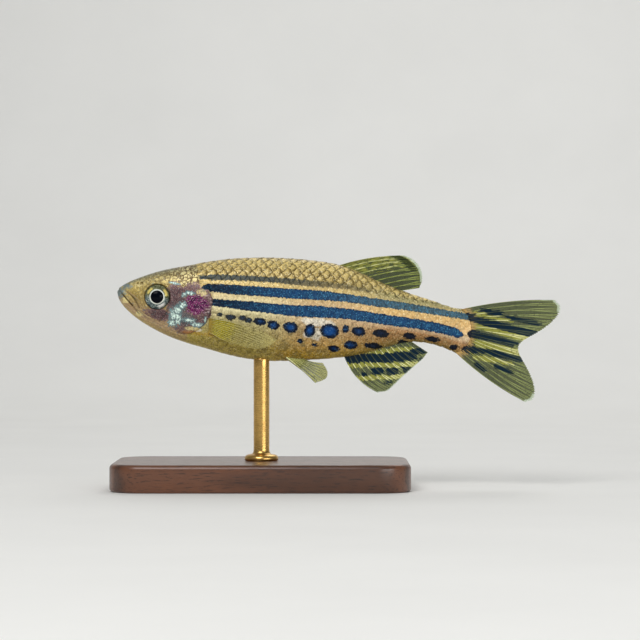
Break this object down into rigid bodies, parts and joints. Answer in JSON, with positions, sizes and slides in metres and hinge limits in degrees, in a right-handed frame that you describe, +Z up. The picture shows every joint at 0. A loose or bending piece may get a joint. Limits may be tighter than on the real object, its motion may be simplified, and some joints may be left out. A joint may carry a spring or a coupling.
{
  "type": "zebra danio model",
  "caption": "Life-size still model of a small slender striped freshwater fish with a forked tail, held on a plain flat stand by a rod, its nose tilted slightly up.",
  "frame": {"origin": "middle of the underside of the stand's base", "axes": "-X towards the fish's nose, which is tilted 7 degrees up, +Z up, fish's left side towards -Y"},
  "size_m": [0.0424, 0.017, 0.0221],
  "materials": {
    "skin": "pearly scaled skin",
    "gill_cover": "pearly skin",
    "eye": "wet",
    "fin": "thin clear web with rays",
    "stand_base": "dark satin",
    "stand_rod": "satin"
  },
  "bodies": {
    "root": {"head": "skin", "lower_jaw": "skin", "trunk": "skin", "tail_stalk": "skin", "gill_cover_left": "gill_cover", "gill_cover_right": "gill_cover", "eye_left": "eye", "eye_right": "eye", "dorsal_fin": "fin", "anal_fin": "fin", "tail_fin": "fin", "pectoral_fin_left": "fin", "pectoral_fin_right": "fin", "pelvic_fin_left": "fin", "pelvic_fin_right": "fin", "stand_base": "stand_base", "stand_rod": "stand_rod"}
  },
  "joints": []
}
